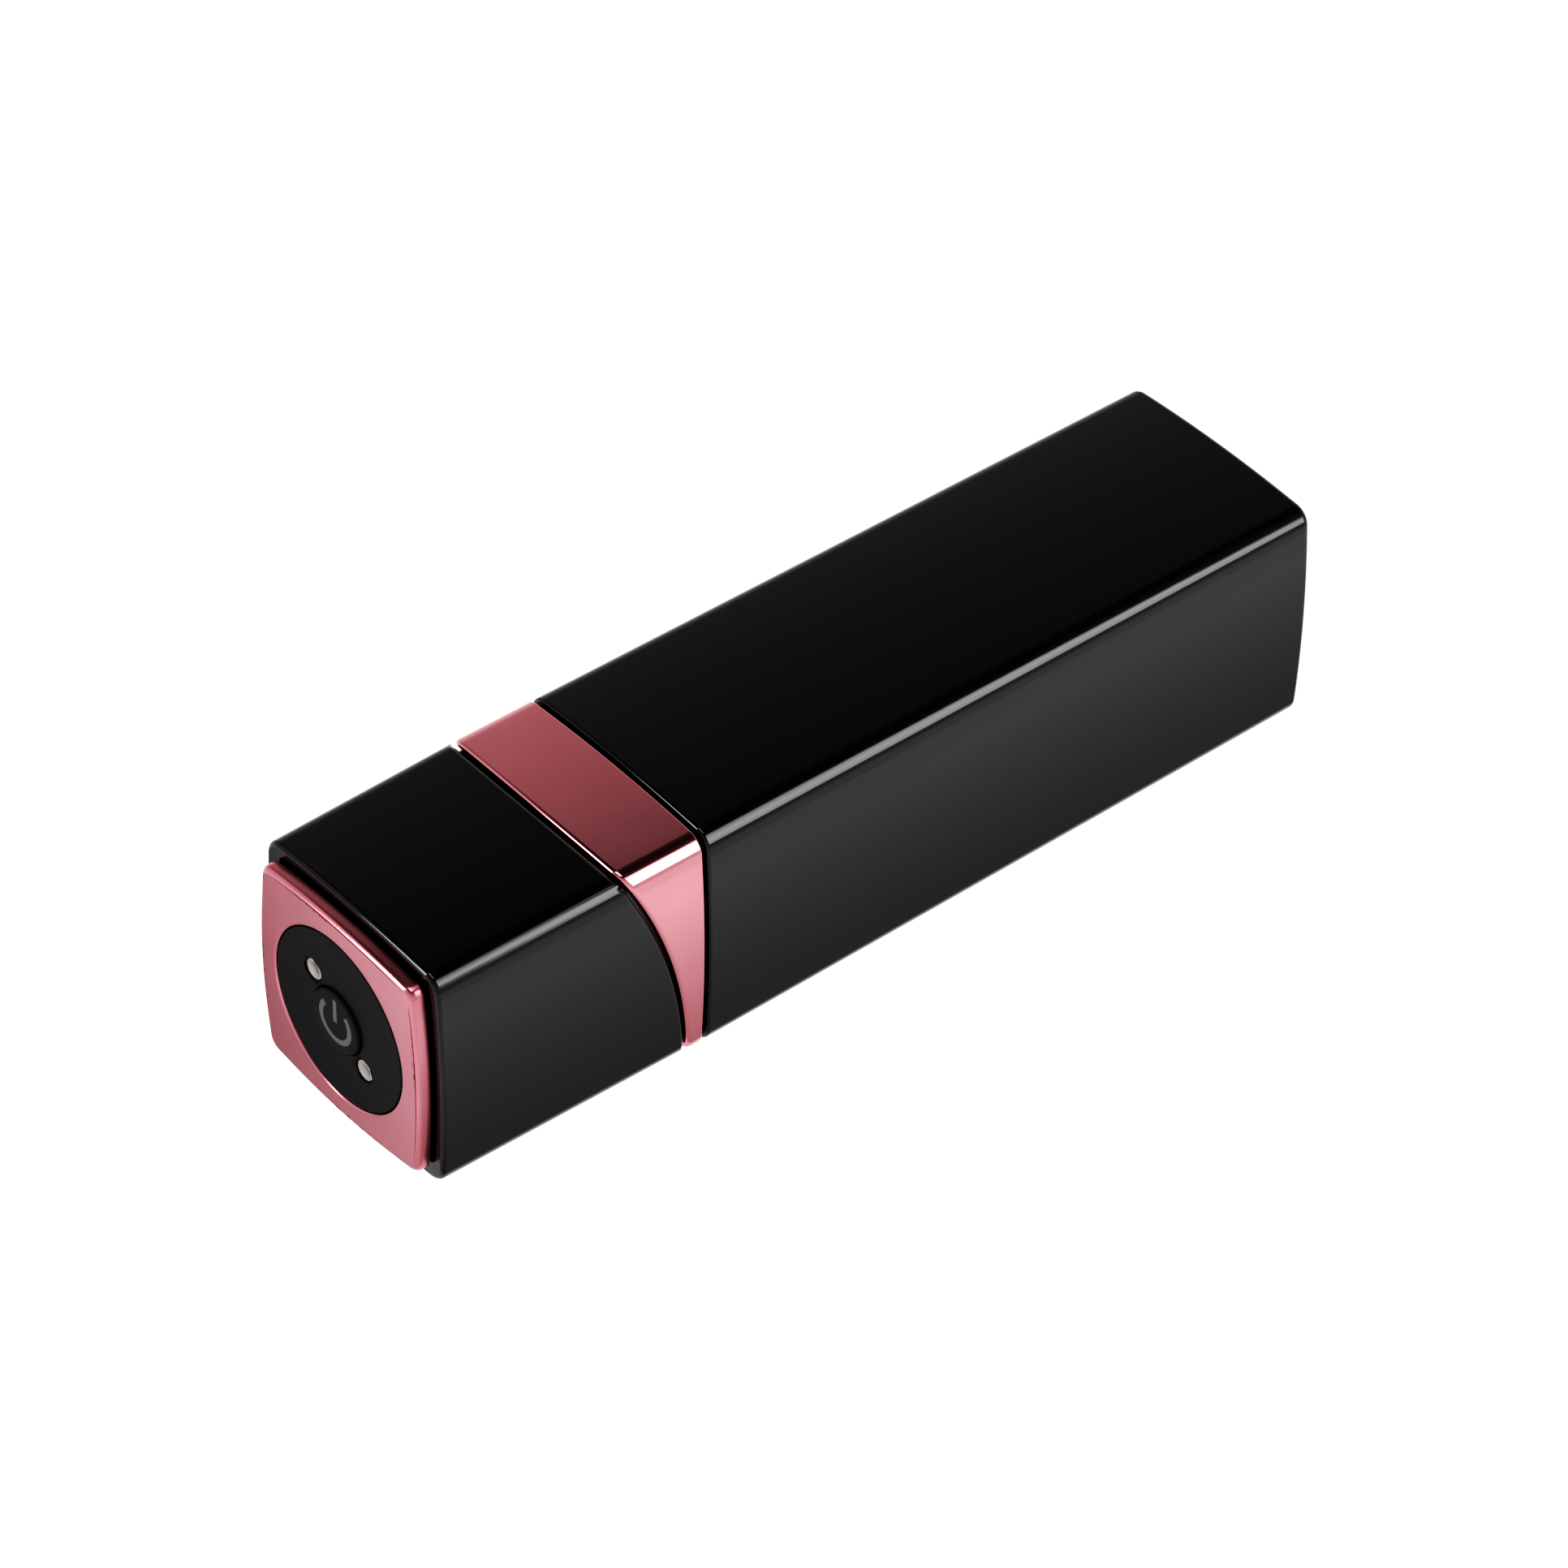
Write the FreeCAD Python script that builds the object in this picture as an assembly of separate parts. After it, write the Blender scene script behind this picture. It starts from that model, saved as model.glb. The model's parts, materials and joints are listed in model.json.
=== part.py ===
import FreeCAD, Part
import math
import os

# A square lipstick-style case lying on its side: a pull-off cap over a soft slanted head, and a base
# with a power button and two charging contacts in its end. Millimetres.
# The pieces are built along the case's own axis: X runs from the button end (0 at the corners of the
# end plate) to the cap's closed end, Z points up and the axis is at y = z = 0. save() then moves each
# one into the row frame, whose origin is on the ground under the middle of the case.

V = FreeCAD.Vector
ALONG = V(1, 0, 0)

# ---- driving dimensions -------------------------------------------------------------------------
case_length = 88.0
half_width = 10.60            # axis to a sharp corner of the square section, across a side
crown = 0.45                  # how far the middle of each side stands out beyond its corners
corner_radius = 1.6           # rounding of the four long edges
ground_height = half_width + crown

# the end that carries the button
plate_half, plate_crown, plate_thickness = 9.20, 0.55, 1.15
dome_radius = 520.0           # the whole end is very slightly domed
plate_front, pad_front, button_front, contact_front = -0.16, -0.04, -0.34, 0.04
pad_radius, pad_back = 7.80, 1.50
button_radius = 2.80
contact_offset, contact_radius, contact_stem = 3.0, 0.95, 0.5
fit_gap = 0.06                # clearance between pieces that are assembled by hand
small_edge = 0.12             # rounding of the pad's rim and the contacts

# base, collar and cap along the axis
base_start, base_half_start, base_half_end = 1.45, 10.35, 10.56
seam_gap, seam_step_half = 0.28, 10.1
collar_end = 26.25
cap_start, cap_half_end, cap_wall_end = 26.65, 10.39, 1.6
cap_bore_half, bore_corner = 9.05, 0.8
stop_ring_half = 10.1
outer_skin = 9.5              # only the outside of the case is further than this from its axis

# the curved seam between base and collar: an arc in side view that sweeps towards the cap lower down
seam_radius = 48.15
seam_centre = V(-23.54, 0, -13.22)

# sleeve, chassis and neck
sleeve_half, sleeve_wall = 8.25, 0.5
sleeve_start, sleeve_end = 3.9, 38.5
chassis_half, chassis_wall = 7.7, 1.0
carrier_half, carrier_end = 8.5, 3.6
neck_ring_end = 39.4
liner_wall, liner_start, liner_end = 0.65, 27.2, 60.0

# drive
head_radius, head_end = 7.6, 81.0
slant_top_x, slant_low_z, slant_rounding = 66.5, -3.6, 1.4
pod_radius, pod_bore, pod_end = 5.8, 4.6, 70.0
motor_radius, motor_start, motor_end = 4.0, 45.5, 59.5
shaft_radius = 0.5
battery_radius, battery_length, battery_start, battery_height = 5.0, 28.0, 7.4, 1.4
board_top, board_thickness, board_start, board_end = -4.15, 0.8, 9.0, 33.0
lead_radius = 0.35


# ---- helpers ------------------------------------------------------------------------------------
def square_wire(x, half, corner, bulge=0.0):
    """A square with rounded corners in the plane at x. bulge crowns its four sides."""
    if bulge:
        side_radius = (half ** 2 + bulge ** 2) / (2 * bulge)
        beyond = side_radius - half - bulge
        reach = side_radius - corner
        centre = (math.sqrt(2 * reach ** 2 - beyond ** 2) - beyond) / 2
        stretch = side_radius / reach
        across, out = centre * stretch, (centre + beyond) * stretch - beyond
    else:
        centre = across = half - corner
        out = half
    tip = centre + corner / math.sqrt(2)
    edges = []
    for quarter in range(4):
        def turned(a, b):
            for _ in range(quarter):
                a, b = b, -a
            return V(x, a, b)
        start, end = turned(-across, out), turned(across, out)
        if bulge:
            edges.append(Part.Arc(start, turned(0, half + bulge), end).toShape())
        else:
            edges.append(Part.makeLine(start, end))
        edges.append(Part.Arc(end, turned(tip, tip), turned(out, across)).toShape())
    return Part.Wire(edges)


def square_bar(x0, x1, half, corner, bulge=0.0, half_end=None):
    """A square bar along X, tapered if half_end is given."""
    end = half if half_end is None else half_end
    if end == half:
        return Part.Face(square_wire(x0, half, corner, bulge)).extrude(V(x1 - x0, 0, 0))
    wires = [square_wire(x0, half, corner, bulge), square_wire(x1, end, corner, bulge)]
    return Part.makeLoft(wires, True, True)


def rod(x0, x1, radius, y=0.0, z=0.0):
    """A round bar along X."""
    return Part.makeCylinder(radius, x1 - x0, V(x0, y, z), ALONG)


def dome(front):
    """The large ball whose surface shapes the end's front faces. front is where it meets the axis."""
    return Part.makeSphere(dome_radius, V(front + dome_radius, 0, 0))


def tube(x0, x1, radius, bore, y=0.0, z=0.0):
    return rod(x0, x1, radius, y, z).cut(rod(x0, x1, bore, y, z))


def block(x0, x1, y0, y1, z0, z1):
    return Part.makeBox(x1 - x0, y1 - y0, z1 - z0, V(x0, y0, z0))


def rounded(shape, radius, chosen):
    """Fillets the edges whose middle point passes the test."""
    edges = [e for e in shape.Edges if chosen(e.valueAt((e.FirstParameter + e.LastParameter) / 2))]
    return shape.makeFillet(radius, edges)


def before_seam(radius):
    """All that lies on the button side of the curved seam, as one block across the case."""
    far, deep = 20.0, 14.0
    cx, cz = seam_centre.x, seam_centre.z

    def on_arc(z):
        return V(cx + math.sqrt(radius ** 2 - (z - cz) ** 2), -far, z)

    low, middle, high = on_arc(-deep), on_arc(0), on_arc(deep)
    back_low, back_high = V(-far, -far, -deep), V(-far, -far, deep)
    edges = [Part.makeLine(back_low, low), Part.Arc(low, middle, high).toShape(),
             Part.makeLine(high, back_high), Part.makeLine(back_high, back_low)]
    return Part.Face(Part.Wire(edges)).extrude(V(0, 2 * far, 0))


def on_seam(point, radius):
    reach = math.hypot(point.x - seam_centre.x, point.z - seam_centre.z)
    return abs(reach - radius) < 0.01


def outside(point, half):
    """True for a point on the outer skin, beyond a square of that half width."""
    return max(abs(point.y), abs(point.z)) > half


def lead(points, radius):
    """A wire with straight runs joined by arcs, each as large as its two runs allow."""
    points = [V(*p) for p in points]
    edges, start = [], points[0]
    for before, here, after in zip(points, points[1:], points[2:]):
        into, away = (here - before), (after - here)
        shorter = min(into.Length, away.Length)
        into.normalize()
        away.normalize()
        cut = 0.45 * shorter
        half_turn = math.acos(max(-1.0, min(1.0, into.dot(away)))) / 2
        bend = cut / math.tan(half_turn)
        first, last = here - into * cut, here + away * cut
        inward = away - into
        inward.normalize()
        centre = here + inward * (bend / math.cos(half_turn))
        middle = centre - inward * bend
        edges.append(Part.makeLine(start, first))
        edges.append(Part.Arc(first, middle, last).toShape())
        start = last
    edges.append(Part.makeLine(start, points[-1]))
    path = Part.Wire(edges)
    heading = points[1] - points[0]
    profile = Part.Wire(Part.makeCircle(radius, points[0], heading))
    return path.makePipeShell([profile], True, False)


pieces = {}


def save(name, shape):
    """Keeps a piece, moved into the row frame."""
    moved = shape.copy()
    moved.translate(V(-(case_length + button_front) / 2, 0, ground_height))
    pieces[name] = moved


# ---- outer case ---------------------------------------------------------------------------------
def make_cap():
    """Glossy moulded cap, closed at its far end, with a square bore."""
    shell = square_bar(cap_start, case_length, half_width, corner_radius, crown, cap_half_end)
    end_edge, mouth_edge = 0.6, 0.3
    shell = rounded(shell, end_edge, lambda p: p.x > case_length - 0.01)
    bore_end = case_length - cap_wall_end
    shell = shell.cut(square_bar(cap_start - 1, bore_end, cap_bore_half, bore_corner))
    return rounded(shell, mouth_edge, lambda p: p.x < cap_start + 0.01 and outside(p, outer_skin))


def make_cap_liner():
    """Thin plastic sleeve in the cap's bore that grips the neck."""
    half, lead_in = cap_bore_half - fit_gap, 0.25
    liner = square_bar(liner_start, liner_end, half, bore_corner)
    liner = liner.cut(square_bar(liner_start - 1, liner_end + 1, half - liner_wall, 0.6))
    mouth = [e for e in liner.Edges if e.CenterOfMass.x < liner_start + 0.01
             and not outside(e.CenterOfMass, half - liner_wall / 2)]
    return liner.makeChamfer(lead_in, mouth)


def make_collar():
    """Metallised band between base and cap. Its lower edge follows the curved seam."""
    band = square_bar(15.0, collar_end, half_width, corner_radius, crown)
    band = band.cut(before_seam(seam_radius + seam_gap))
    band = band.cut(square_bar(14.0, collar_end + 1, sleeve_half + fit_gap, 1.0))
    cap_edge, seam_edge = 0.2, 0.55
    band = rounded(band, cap_edge, lambda p: outside(p, outer_skin) and p.x > collar_end - 0.01)
    return rounded(band, seam_edge,
                   lambda p: outside(p, outer_skin) and on_seam(p, seam_radius + seam_gap))


def make_cap_stop_ring():
    """Square black ring in front of the collar. The cap's mouth stops against it."""
    ring = square_bar(collar_end, cap_start - fit_gap, stop_ring_half, corner_radius)
    return ring.cut(square_bar(collar_end - 1, cap_start, sleeve_half + fit_gap, 1.0))


def make_base_shell():
    """Glossy moulded base sleeve, slightly narrower at the button end. Its step under the seam meets the
    collar and makes the seam a shallow dark groove."""
    reach, front_edge, seam_edge = 26.0, 0.4, 0.35
    shell = square_bar(base_start, reach, base_half_start, corner_radius, crown, base_half_end)
    shell = shell.common(before_seam(seam_radius))
    shell = rounded(shell, front_edge, lambda p: p.x < base_start + 0.01)
    shell = rounded(shell, seam_edge, lambda p: on_seam(p, seam_radius))
    step = square_bar(base_start + 1, reach, seam_step_half, corner_radius)
    shell = shell.fuse(step.common(before_seam(seam_radius + seam_gap))).removeSplitter()
    shell = shell.cut(square_bar(0, 30, sleeve_half + fit_gap, 1.0))
    return shell.cut(square_bar(0, carrier_end, carrier_half + 0.15, 1.1))


def make_end_plate():
    """Metallised frame around the button pad."""
    plate = square_bar(-1, plate_thickness, plate_half, 0.9, plate_crown).common(dome(plate_front))
    front_edge, lip = 0.55, 0.25
    plate = rounded(plate, front_edge, lambda p: p.x < 0.3 and outside(p, 8.5))
    plate = plate.cut(rod(-1, plate_thickness + 1, pad_radius))
    return rounded(plate, lip, lambda p: p.x < 0 and math.hypot(p.y, p.z) < pad_radius + 0.05)


# ---- button end ---------------------------------------------------------------------------------
contact_places = [(contact_offset, contact_offset), (-contact_offset, -contact_offset)]
magnet_offset, magnet_radius, magnet_start, magnet_end = 3.9, 1.5, 2.0, 3.5
magnet_places = [(magnet_offset, -magnet_offset), (-magnet_offset, magnet_offset)]
screw_offset, screw_radius, screw_head_radius = 6.3, 0.7, 1.05
screw_head_end = 2.0
screw_places = [(sy * screw_offset, sz * screw_offset) for sy in (-1, 1) for sz in (-1, 1)]
contact_shoulder = 1.05
flange_radius, flange_start, flange_end, stub_end = 3.35, 1.56, 2.1, 3.0
board_round_radius, switch_board_start, switch_board_end = 6.5, 5.0, 5.8
actuator_radius, actuator_rim = 0.9, 1.1


def make_keypad_seal():
    """Soft round pad with a hole for the button and a stepped hole for each contact."""
    pad = rod(-1, pad_back, pad_radius - fit_gap).common(dome(pad_front))
    pad = rounded(pad, small_edge, lambda p: p.x < 0.1)
    pad = pad.cut(rod(-1, 2, button_radius + 0.1))
    for y, z in contact_places:
        pad = pad.cut(rod(-1, contact_shoulder, contact_radius + 0.03, y, z))
        pad = pad.cut(rod(-1, 2, contact_stem + 0.05, y, z))
    return pad


def make_power_symbol():
    """Ring with a gap at its top and a short bar in the gap, let into the button."""
    depth, ring, stroke, bar_width = 0.15, 1.75, 0.5, 0.45
    back = button_front + depth
    symbol = tube(-1, back, ring + stroke / 2, ring - stroke / 2)
    wedge = Part.makePolygon([V(-1, 0, 0), V(-1, 5, 5), V(-1, -5, 5), V(-1, 0, 0)])
    symbol = symbol.cut(Part.Face(wedge).extrude(V(2, 0, 0)))
    bar = block(-1, back, -bar_width / 2, bar_width / 2, -0.05, 2.2)
    return symbol.fuse(bar).common(dome(button_front))


def make_power_button(symbol):
    """Button with a flange behind the pad and a stub that reaches the switch."""
    top = rod(-1, flange_start, button_radius).common(dome(button_front))
    top_edge, stub_radius = 0.2, 1.2
    top = rounded(top, top_edge, lambda p: p.x < 0)
    flange = rod(flange_start, flange_end, flange_radius)
    stub = rod(flange_end, stub_end, stub_radius)
    return top.fuse([flange, stub]).removeSplitter().cut(symbol)


def make_contact(y, z):
    """Plated contact: a head just below the pad's face and a stem soldered to the switch board."""
    head = rod(contact_front, contact_shoulder, contact_radius, y, z)
    head = rounded(head, small_edge, lambda p: p.x < contact_front + 0.01)
    return head.fuse(rod(contact_shoulder, switch_board_start, contact_stem, y, z)).removeSplitter()


def make_end_carrier():
    """Moulded frame that holds the pad, button, contacts and magnets, and carries the end plate."""
    frame = square_bar(plate_thickness, carrier_end, carrier_half, 1.0)
    frame = frame.cut(rod(0, pad_back, pad_radius + 0.05))
    frame = frame.cut(rod(0, 5, flange_radius + 0.1))
    for y, z in contact_places:
        frame = frame.cut(rod(0, 5, contact_stem + 0.05, y, z))
    for y, z in magnet_places:
        frame = frame.cut(rod(magnet_start, 5, magnet_radius + 0.03, y, z))
    for y, z in screw_places:
        frame = frame.cut(rod(0, screw_head_end, screw_head_radius + 0.1, y, z))
        frame = frame.cut(rod(0, 5, screw_radius + 0.1, y, z))
    return frame


def make_screw(y, z):
    """Small self-tapping screw with a cross recess."""
    head_start = plate_thickness + 0.1
    head = rod(head_start, screw_head_end, screw_head_radius, y, z)
    slot, depth = 0.16, 0.35
    reach = 0.65
    cross = block(head_start - 1, head_start + depth, y - reach, y + reach, z - slot, z + slot)
    cross = cross.fuse(block(head_start - 1, head_start + depth, y - slot, y + slot, z - reach, z + reach))
    shank_end, point_end = 8.6, 9.4
    shank = rod(screw_head_end, shank_end, screw_radius, y, z)
    point = Part.makeCone(screw_radius, 0.15, point_end - shank_end, V(shank_end, y, z), ALONG)
    return head.fuse([shank, point]).removeSplitter().cut(cross)


def make_carrier_gasket():
    """Soft square gasket between the end carrier and the sleeve."""
    ring = square_bar(carrier_end, sleeve_start, sleeve_half, 1.2)
    return ring.cut(square_bar(0, 5, chassis_half + 0.03, 0.7))


def make_switch_board():
    board = rod(switch_board_start, switch_board_end, board_round_radius)
    notch = block(4, 6, -1.5, 1.5, -7, -5.9)
    return board.cut(notch)


def make_switch_body():
    """Square tactile switch with a round opening for its actuator and four solder legs."""
    size, front = 2.25, 3.7
    body = block(front, switch_board_start, -size, size, -size, size)
    body = rounded(body, 0.3, lambda p: abs(abs(p.y) - size) < 0.01 and abs(abs(p.z) - size) < 0.01)
    body = body.cut(rod(front - 1, front + 0.15, actuator_radius + 0.05))
    body = body.cut(rod(front + 0.15, 4.6, actuator_rim + 0.05))
    for y in (-1.4, 1.4):
        for z in (-size, size):
            side = math.copysign(0.35, z)
            low, high = sorted((z, z + side))
            body = body.fuse(block(4.6, switch_board_start, y - 0.25, y + 0.25, low, high))
    return body.removeSplitter()


def make_switch_actuator():
    """Plunger of the switch. A rim behind its neck keeps it in the body."""
    neck_end = 3.9
    neck = rod(stub_end + 0.05, neck_end, actuator_radius)
    return neck.fuse(rod(neck_end, neck_end + 0.3, actuator_rim)).removeSplitter()


# ---- chassis and neck ---------------------------------------------------------------------------
bulkhead_start, flange_groove, flange_lip = 36.0, 36.9, 38.0
pod_flange_radius = 6.4


def make_inner_sleeve():
    """Anodised square tube that ties base, collar and neck together."""
    sleeve = square_bar(sleeve_start, sleeve_end, sleeve_half, 1.1)
    return sleeve.cut(square_bar(0, sleeve_end + 1, sleeve_half - sleeve_wall, 0.7))


def make_neck_ring():
    """Metallised square washer that closes the neck around the soft head."""
    ring = square_bar(sleeve_end, neck_ring_end, sleeve_half, 1.1)
    ring = rounded(ring, 0.3, lambda p: p.x > neck_ring_end - 0.01)
    return ring.cut(rod(0, 50, head_radius + 0.05))


def make_chassis():
    """Moulded box for the battery and boards, before it is split into two halves."""
    inner = chassis_half - chassis_wall
    box = square_bar(carrier_end, sleeve_end, chassis_half, 0.7)
    box = box.cut(square_bar(0, bulkhead_start, inner, 0.5))
    boss_radius, boss_end = 1.3, 12.0
    for y, z in screw_places:
        boss = rod(carrier_end, boss_end, boss_radius, y, z)
        box = box.fuse(boss.common(square_bar(0, boss_end, chassis_half - 0.3, 0.5)))
    rib_thickness, rib_low = 1.0, board_top + 0.15
    for x in (13.0, 21.0, 29.0):
        rib = block(x, x + rib_thickness, -inner - 0.1, inner + 0.1, rib_low, inner + 0.1)
        rib = rib.cut(rod(0, 50, battery_radius + 0.15, 0, battery_height))
        box = box.fuse(rib)
    for side in (-1, 1):
        low, high = sorted((side * (inner + 0.1), side * 5.4))
        ledge = block(board_start, board_end, low, high, -inner - 0.1, board_top - board_thickness)
        box = box.fuse(ledge)
    box = box.cut(rod(0, 50, pod_bore + 0.1))
    box = box.cut(rod(flange_groove, flange_lip, pod_flange_radius + 0.05))
    box = box.cut(rod(flange_lip, 50, pod_radius + 0.05))
    for y, z in screw_places:
        box = box.cut(rod(0, 9.6, screw_radius + 0.02, y, z))
    return box.removeSplitter()


def split_chassis(box, side):
    low, high = sorted((0, side * 20))
    half = box.common(block(0, 60, low, high, -20, 20))
    return half


# ---- electronics --------------------------------------------------------------------------------
battery_end = battery_start + battery_length
wrap_thickness = 0.1


def make_battery_cell():
    """Cylindrical cell: a steel can with a rolled groove and a raised positive cap."""
    body = rod(battery_start, battery_end - 0.6, battery_radius - wrap_thickness, 0, battery_height)
    body = rounded(body, 0.4, lambda p: p.x < battery_start + 0.01)
    cap = rod(battery_end - 0.6, battery_end, 2.4, 0, battery_height)
    groove_place = battery_end - 3.0
    groove = tube(groove_place, groove_place + 0.8, battery_radius, battery_radius - 0.6,
                  0, battery_height)
    return body.fuse(cap).cut(groove).removeSplitter()


def make_battery_wrap():
    return tube(battery_start + 0.6, battery_end - 0.7, battery_radius, battery_radius - wrap_thickness + 0.01,
                0, battery_height)


def make_battery_pad():
    """Foam strip between the cell and the chassis roof."""
    top = chassis_half - chassis_wall
    strip = block(14.2, 20.8, -2.0, 2.0, battery_height + 4.6, top)
    return strip.cut(rod(10, 30, battery_radius + 0.02, 0, battery_height))


def make_main_board():
    half = 5.9
    board = block(board_start, board_end, -half, half, board_top - board_thickness, board_top)
    return rounded(board, 0.6, lambda p: abs(p.z - (board_top - board_thickness / 2)) < 0.01
                   and abs(abs(p.y) - half) < 0.01)


def chip(x, y, length, width, height):
    """A component on the underside of the main board, with bevelled edges."""
    top = board_top - board_thickness
    body = block(x, x + length, y - width / 2, y + width / 2, top - height, top)
    return body.makeChamfer(0.1, [e for e in body.Edges if e.CenterOfMass.z < top - height + 0.01])


def make_passives():
    """Resistors and capacitors in two rows on the underside of the main board."""
    rows = []
    for n in range(7):
        for y in (-4.2, 4.2):
            rows.append(chip(10.5 + 2.9 * n, y, 1.6, 0.8, 0.5))
    return Part.makeCompound(rows)


def make_ribbon():
    """Flat flexible cable from the switch board to the main board."""
    half, thick = 1.3, 0.15
    start, low = switch_board_end, -5.25
    upright = block(start, start + thick, -half, half, low, -3.6)
    shelf = block(start, board_start + 1.5, -half, half, low, low + thick)
    ramp = block(board_start + 1.35, board_start + 1.5, -half, half, low, board_top - board_thickness)
    return upright.fuse([shelf, ramp]).removeSplitter()


# ---- motor and head -----------------------------------------------------------------------------
def make_motor_pod():
    """Hard pod inside the soft head that carries the motor."""
    dome_start = pod_end - pod_radius
    body = rod(flange_groove + 0.05, dome_start, pod_radius)
    body = body.fuse(Part.makeSphere(pod_radius, V(dome_start, 0, 0)))
    body = body.fuse(rod(flange_groove + 0.05, flange_lip - 0.05, pod_flange_radius))
    hollow = rod(flange_groove, dome_start, pod_bore)
    hollow = hollow.fuse(Part.makeSphere(pod_bore, V(dome_start, 0, 0)))
    return body.cut(hollow).removeSplitter()


def make_motor_can():
    wall = 0.3
    can = rod(motor_start + 0.8, motor_end, motor_radius)
    can = rounded(can, 0.4, lambda p: p.x > motor_end - 0.01)
    can = can.cut(rod(0, motor_end - 0.6, motor_radius - wall))
    return can.cut(rod(0, 99, 1.0))


def make_motor_end_cap():
    """Plastic rear cap with two terminal slots."""
    cap = rod(motor_start, motor_start + 1.6, motor_radius - 0.32)
    cap = cap.fuse(rod(motor_start, motor_start + 0.78, motor_radius))
    cap = cap.cut(rod(0, 99, 1.0))
    return cap.removeSplitter()


def make_eccentric_weight():
    """Half-round tungsten weight pressed on the shaft."""
    start, end, swing = motor_end + 0.9, motor_end + 5.3, 3.9
    sector = rod(start, end, swing).common(block(start, end, -5, 5, -5, -0.4))
    weight = sector.fuse(rod(start, end, 1.25))
    weight = weight.cut(rod(0, 99, shaft_radius))
    return weight.removeSplitter()


def make_soft_head():
    """Round soft head with a slanted face, like a lipstick bullet, hollow over the pod."""
    body = rod(sleeve_end, head_end, head_radius)
    top, low = V(slant_top_x, -20, head_radius), V(head_end, -20, slant_low_z)
    run = low - top
    corners = [top - run, low + run, V(head_end + 30, -20, 30)]
    wedge = Part.Face(Part.makePolygon(corners + [corners[0]])).extrude(V(0, 40, 0))
    body = body.cut(wedge)
    body = rounded(body, slant_rounding, lambda p: p.x > slant_top_x - 0.01)
    dome_start = pod_end - pod_radius
    hollow = rod(0, dome_start, pod_radius + 0.02)
    hollow = hollow.fuse(Part.makeSphere(pod_radius + 0.02, V(dome_start, 0, 0)))
    return body.cut(hollow)


# ---- assembly -----------------------------------------------------------------------------------
def build():
    save("cap_shell", make_cap())
    save("cap_liner", make_cap_liner())
    save("collar_band", make_collar())
    save("cap_stop_ring", make_cap_stop_ring())
    save("base_shell", make_base_shell())
    save("end_plate", make_end_plate())
    save("inner_sleeve", make_inner_sleeve())
    save("neck_ring", make_neck_ring())

    save("keypad_seal", make_keypad_seal())
    symbol = make_power_symbol()
    save("power_symbol", symbol)
    save("power_button", make_power_button(symbol))
    for n, (y, z) in enumerate(contact_places, 1):
        save(f"charge_contact_{n}", make_contact(y, z))
    for n, (y, z) in enumerate(magnet_places, 1):
        save(f"charging_magnet_{n}", rod(magnet_start, magnet_end, magnet_radius, y, z))
    save("end_carrier", make_end_carrier())
    save("carrier_screws", Part.makeCompound([make_screw(y, z) for y, z in screw_places]))
    save("carrier_gasket", make_carrier_gasket())
    save("switch_board", make_switch_board())
    save("switch_body", make_switch_body())
    save("switch_actuator", make_switch_actuator())
    save("status_led", block(4.4, switch_board_start, -0.4, 0.4, -4.6, -3.0))

    box = make_chassis()
    save("chassis_half_left", split_chassis(box, 1))
    save("chassis_half_right", split_chassis(box, -1))

    save("battery_cell", make_battery_cell())
    save("battery_wrap", make_battery_wrap())
    save("battery_pad", make_battery_pad())
    save("main_board", make_main_board())
    save("controller_chip", chip(19.0, 0, 4.0, 4.0, 0.9))
    save("charger_chip", chip(26.0, 0, 2.9, 1.6, 1.1))
    save("power_inductor", chip(13.5, 0, 3.0, 3.0, 1.2))
    save("board_passives", make_passives())
    save("ribbon_cable", make_ribbon())
    low = board_top + lead_radius
    for name, side in (("red", 1), ("black", -1)):
        route = [(board_end - 2.0, side * 5.3, low), (board_end + 1.0, side * 5.2, low + 0.1),
                 (battery_end, side * 4.3, -3.0), (battery_end + 0.2, side * 2.2, -1.2)]
        save(f"battery_lead_{name}", lead(route, lead_radius))
        route = [(board_end - 2.0, side * 2.2, low), (board_end + 1.2, side * 2.2, low + 0.05),
                 (37.0, side * 1.9, -3.0), (41.0, side * 1.9, -2.3), (motor_start - 0.1, side * 2.0, -2.0)]
        save(f"motor_lead_{name}", lead(route, lead_radius))

    save("motor_pod", make_motor_pod())
    save("motor_mount_sleeve", tube(motor_start + 2, motor_end - 2, pod_bore - 0.02, motor_radius + 0.01))
    save("motor_can", make_motor_can())
    save("motor_end_cap", make_motor_end_cap())
    save("motor_bearing_front", tube(motor_end - 1.4, motor_end + 0.4, 0.98, shaft_radius + 0.03))
    save("motor_bearing_rear", tube(motor_start + 0.2, motor_start + 1.4, 0.98, shaft_radius + 0.03))
    save("motor_magnet", tube(motor_start + 3.9, motor_end - 0.6, 2.6, 1.05))
    save("motor_coil_cup", tube(motor_start + 3.2, motor_end - 1.2, 3.4, 2.9).fuse(
        tube(motor_start + 2.6, motor_start + 3.4, 3.4, shaft_radius)).removeSplitter())
    save("motor_commutator", tube(motor_start + 1.8, motor_start + 2.6, 1.1, shaft_radius))
    save("motor_shaft", rod(motor_start + 0.3, motor_end + 5.5, shaft_radius))
    save("eccentric_weight", make_eccentric_weight())
    save("soft_head", make_soft_head())

    os.makedirs("parts", exist_ok=True)
    for old in os.listdir("parts"):
        os.remove(os.path.join("parts", old))
    for name, shape in pieces.items():
        solids = shape.Solids
        if not shape.isValid() or not solids:
            print("check this piece:", name, shape.isValid(), len(solids))
        whole = solids[0] if len(solids) == 1 else Part.makeCompound(solids)
        whole.exportStep(f"parts/{name}.step")
        print(f"{name:22s} {len(solids)} solid(s) {sum(s.Volume for s in solids):9.2f} mm3")


build()
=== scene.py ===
import json
import math

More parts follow.
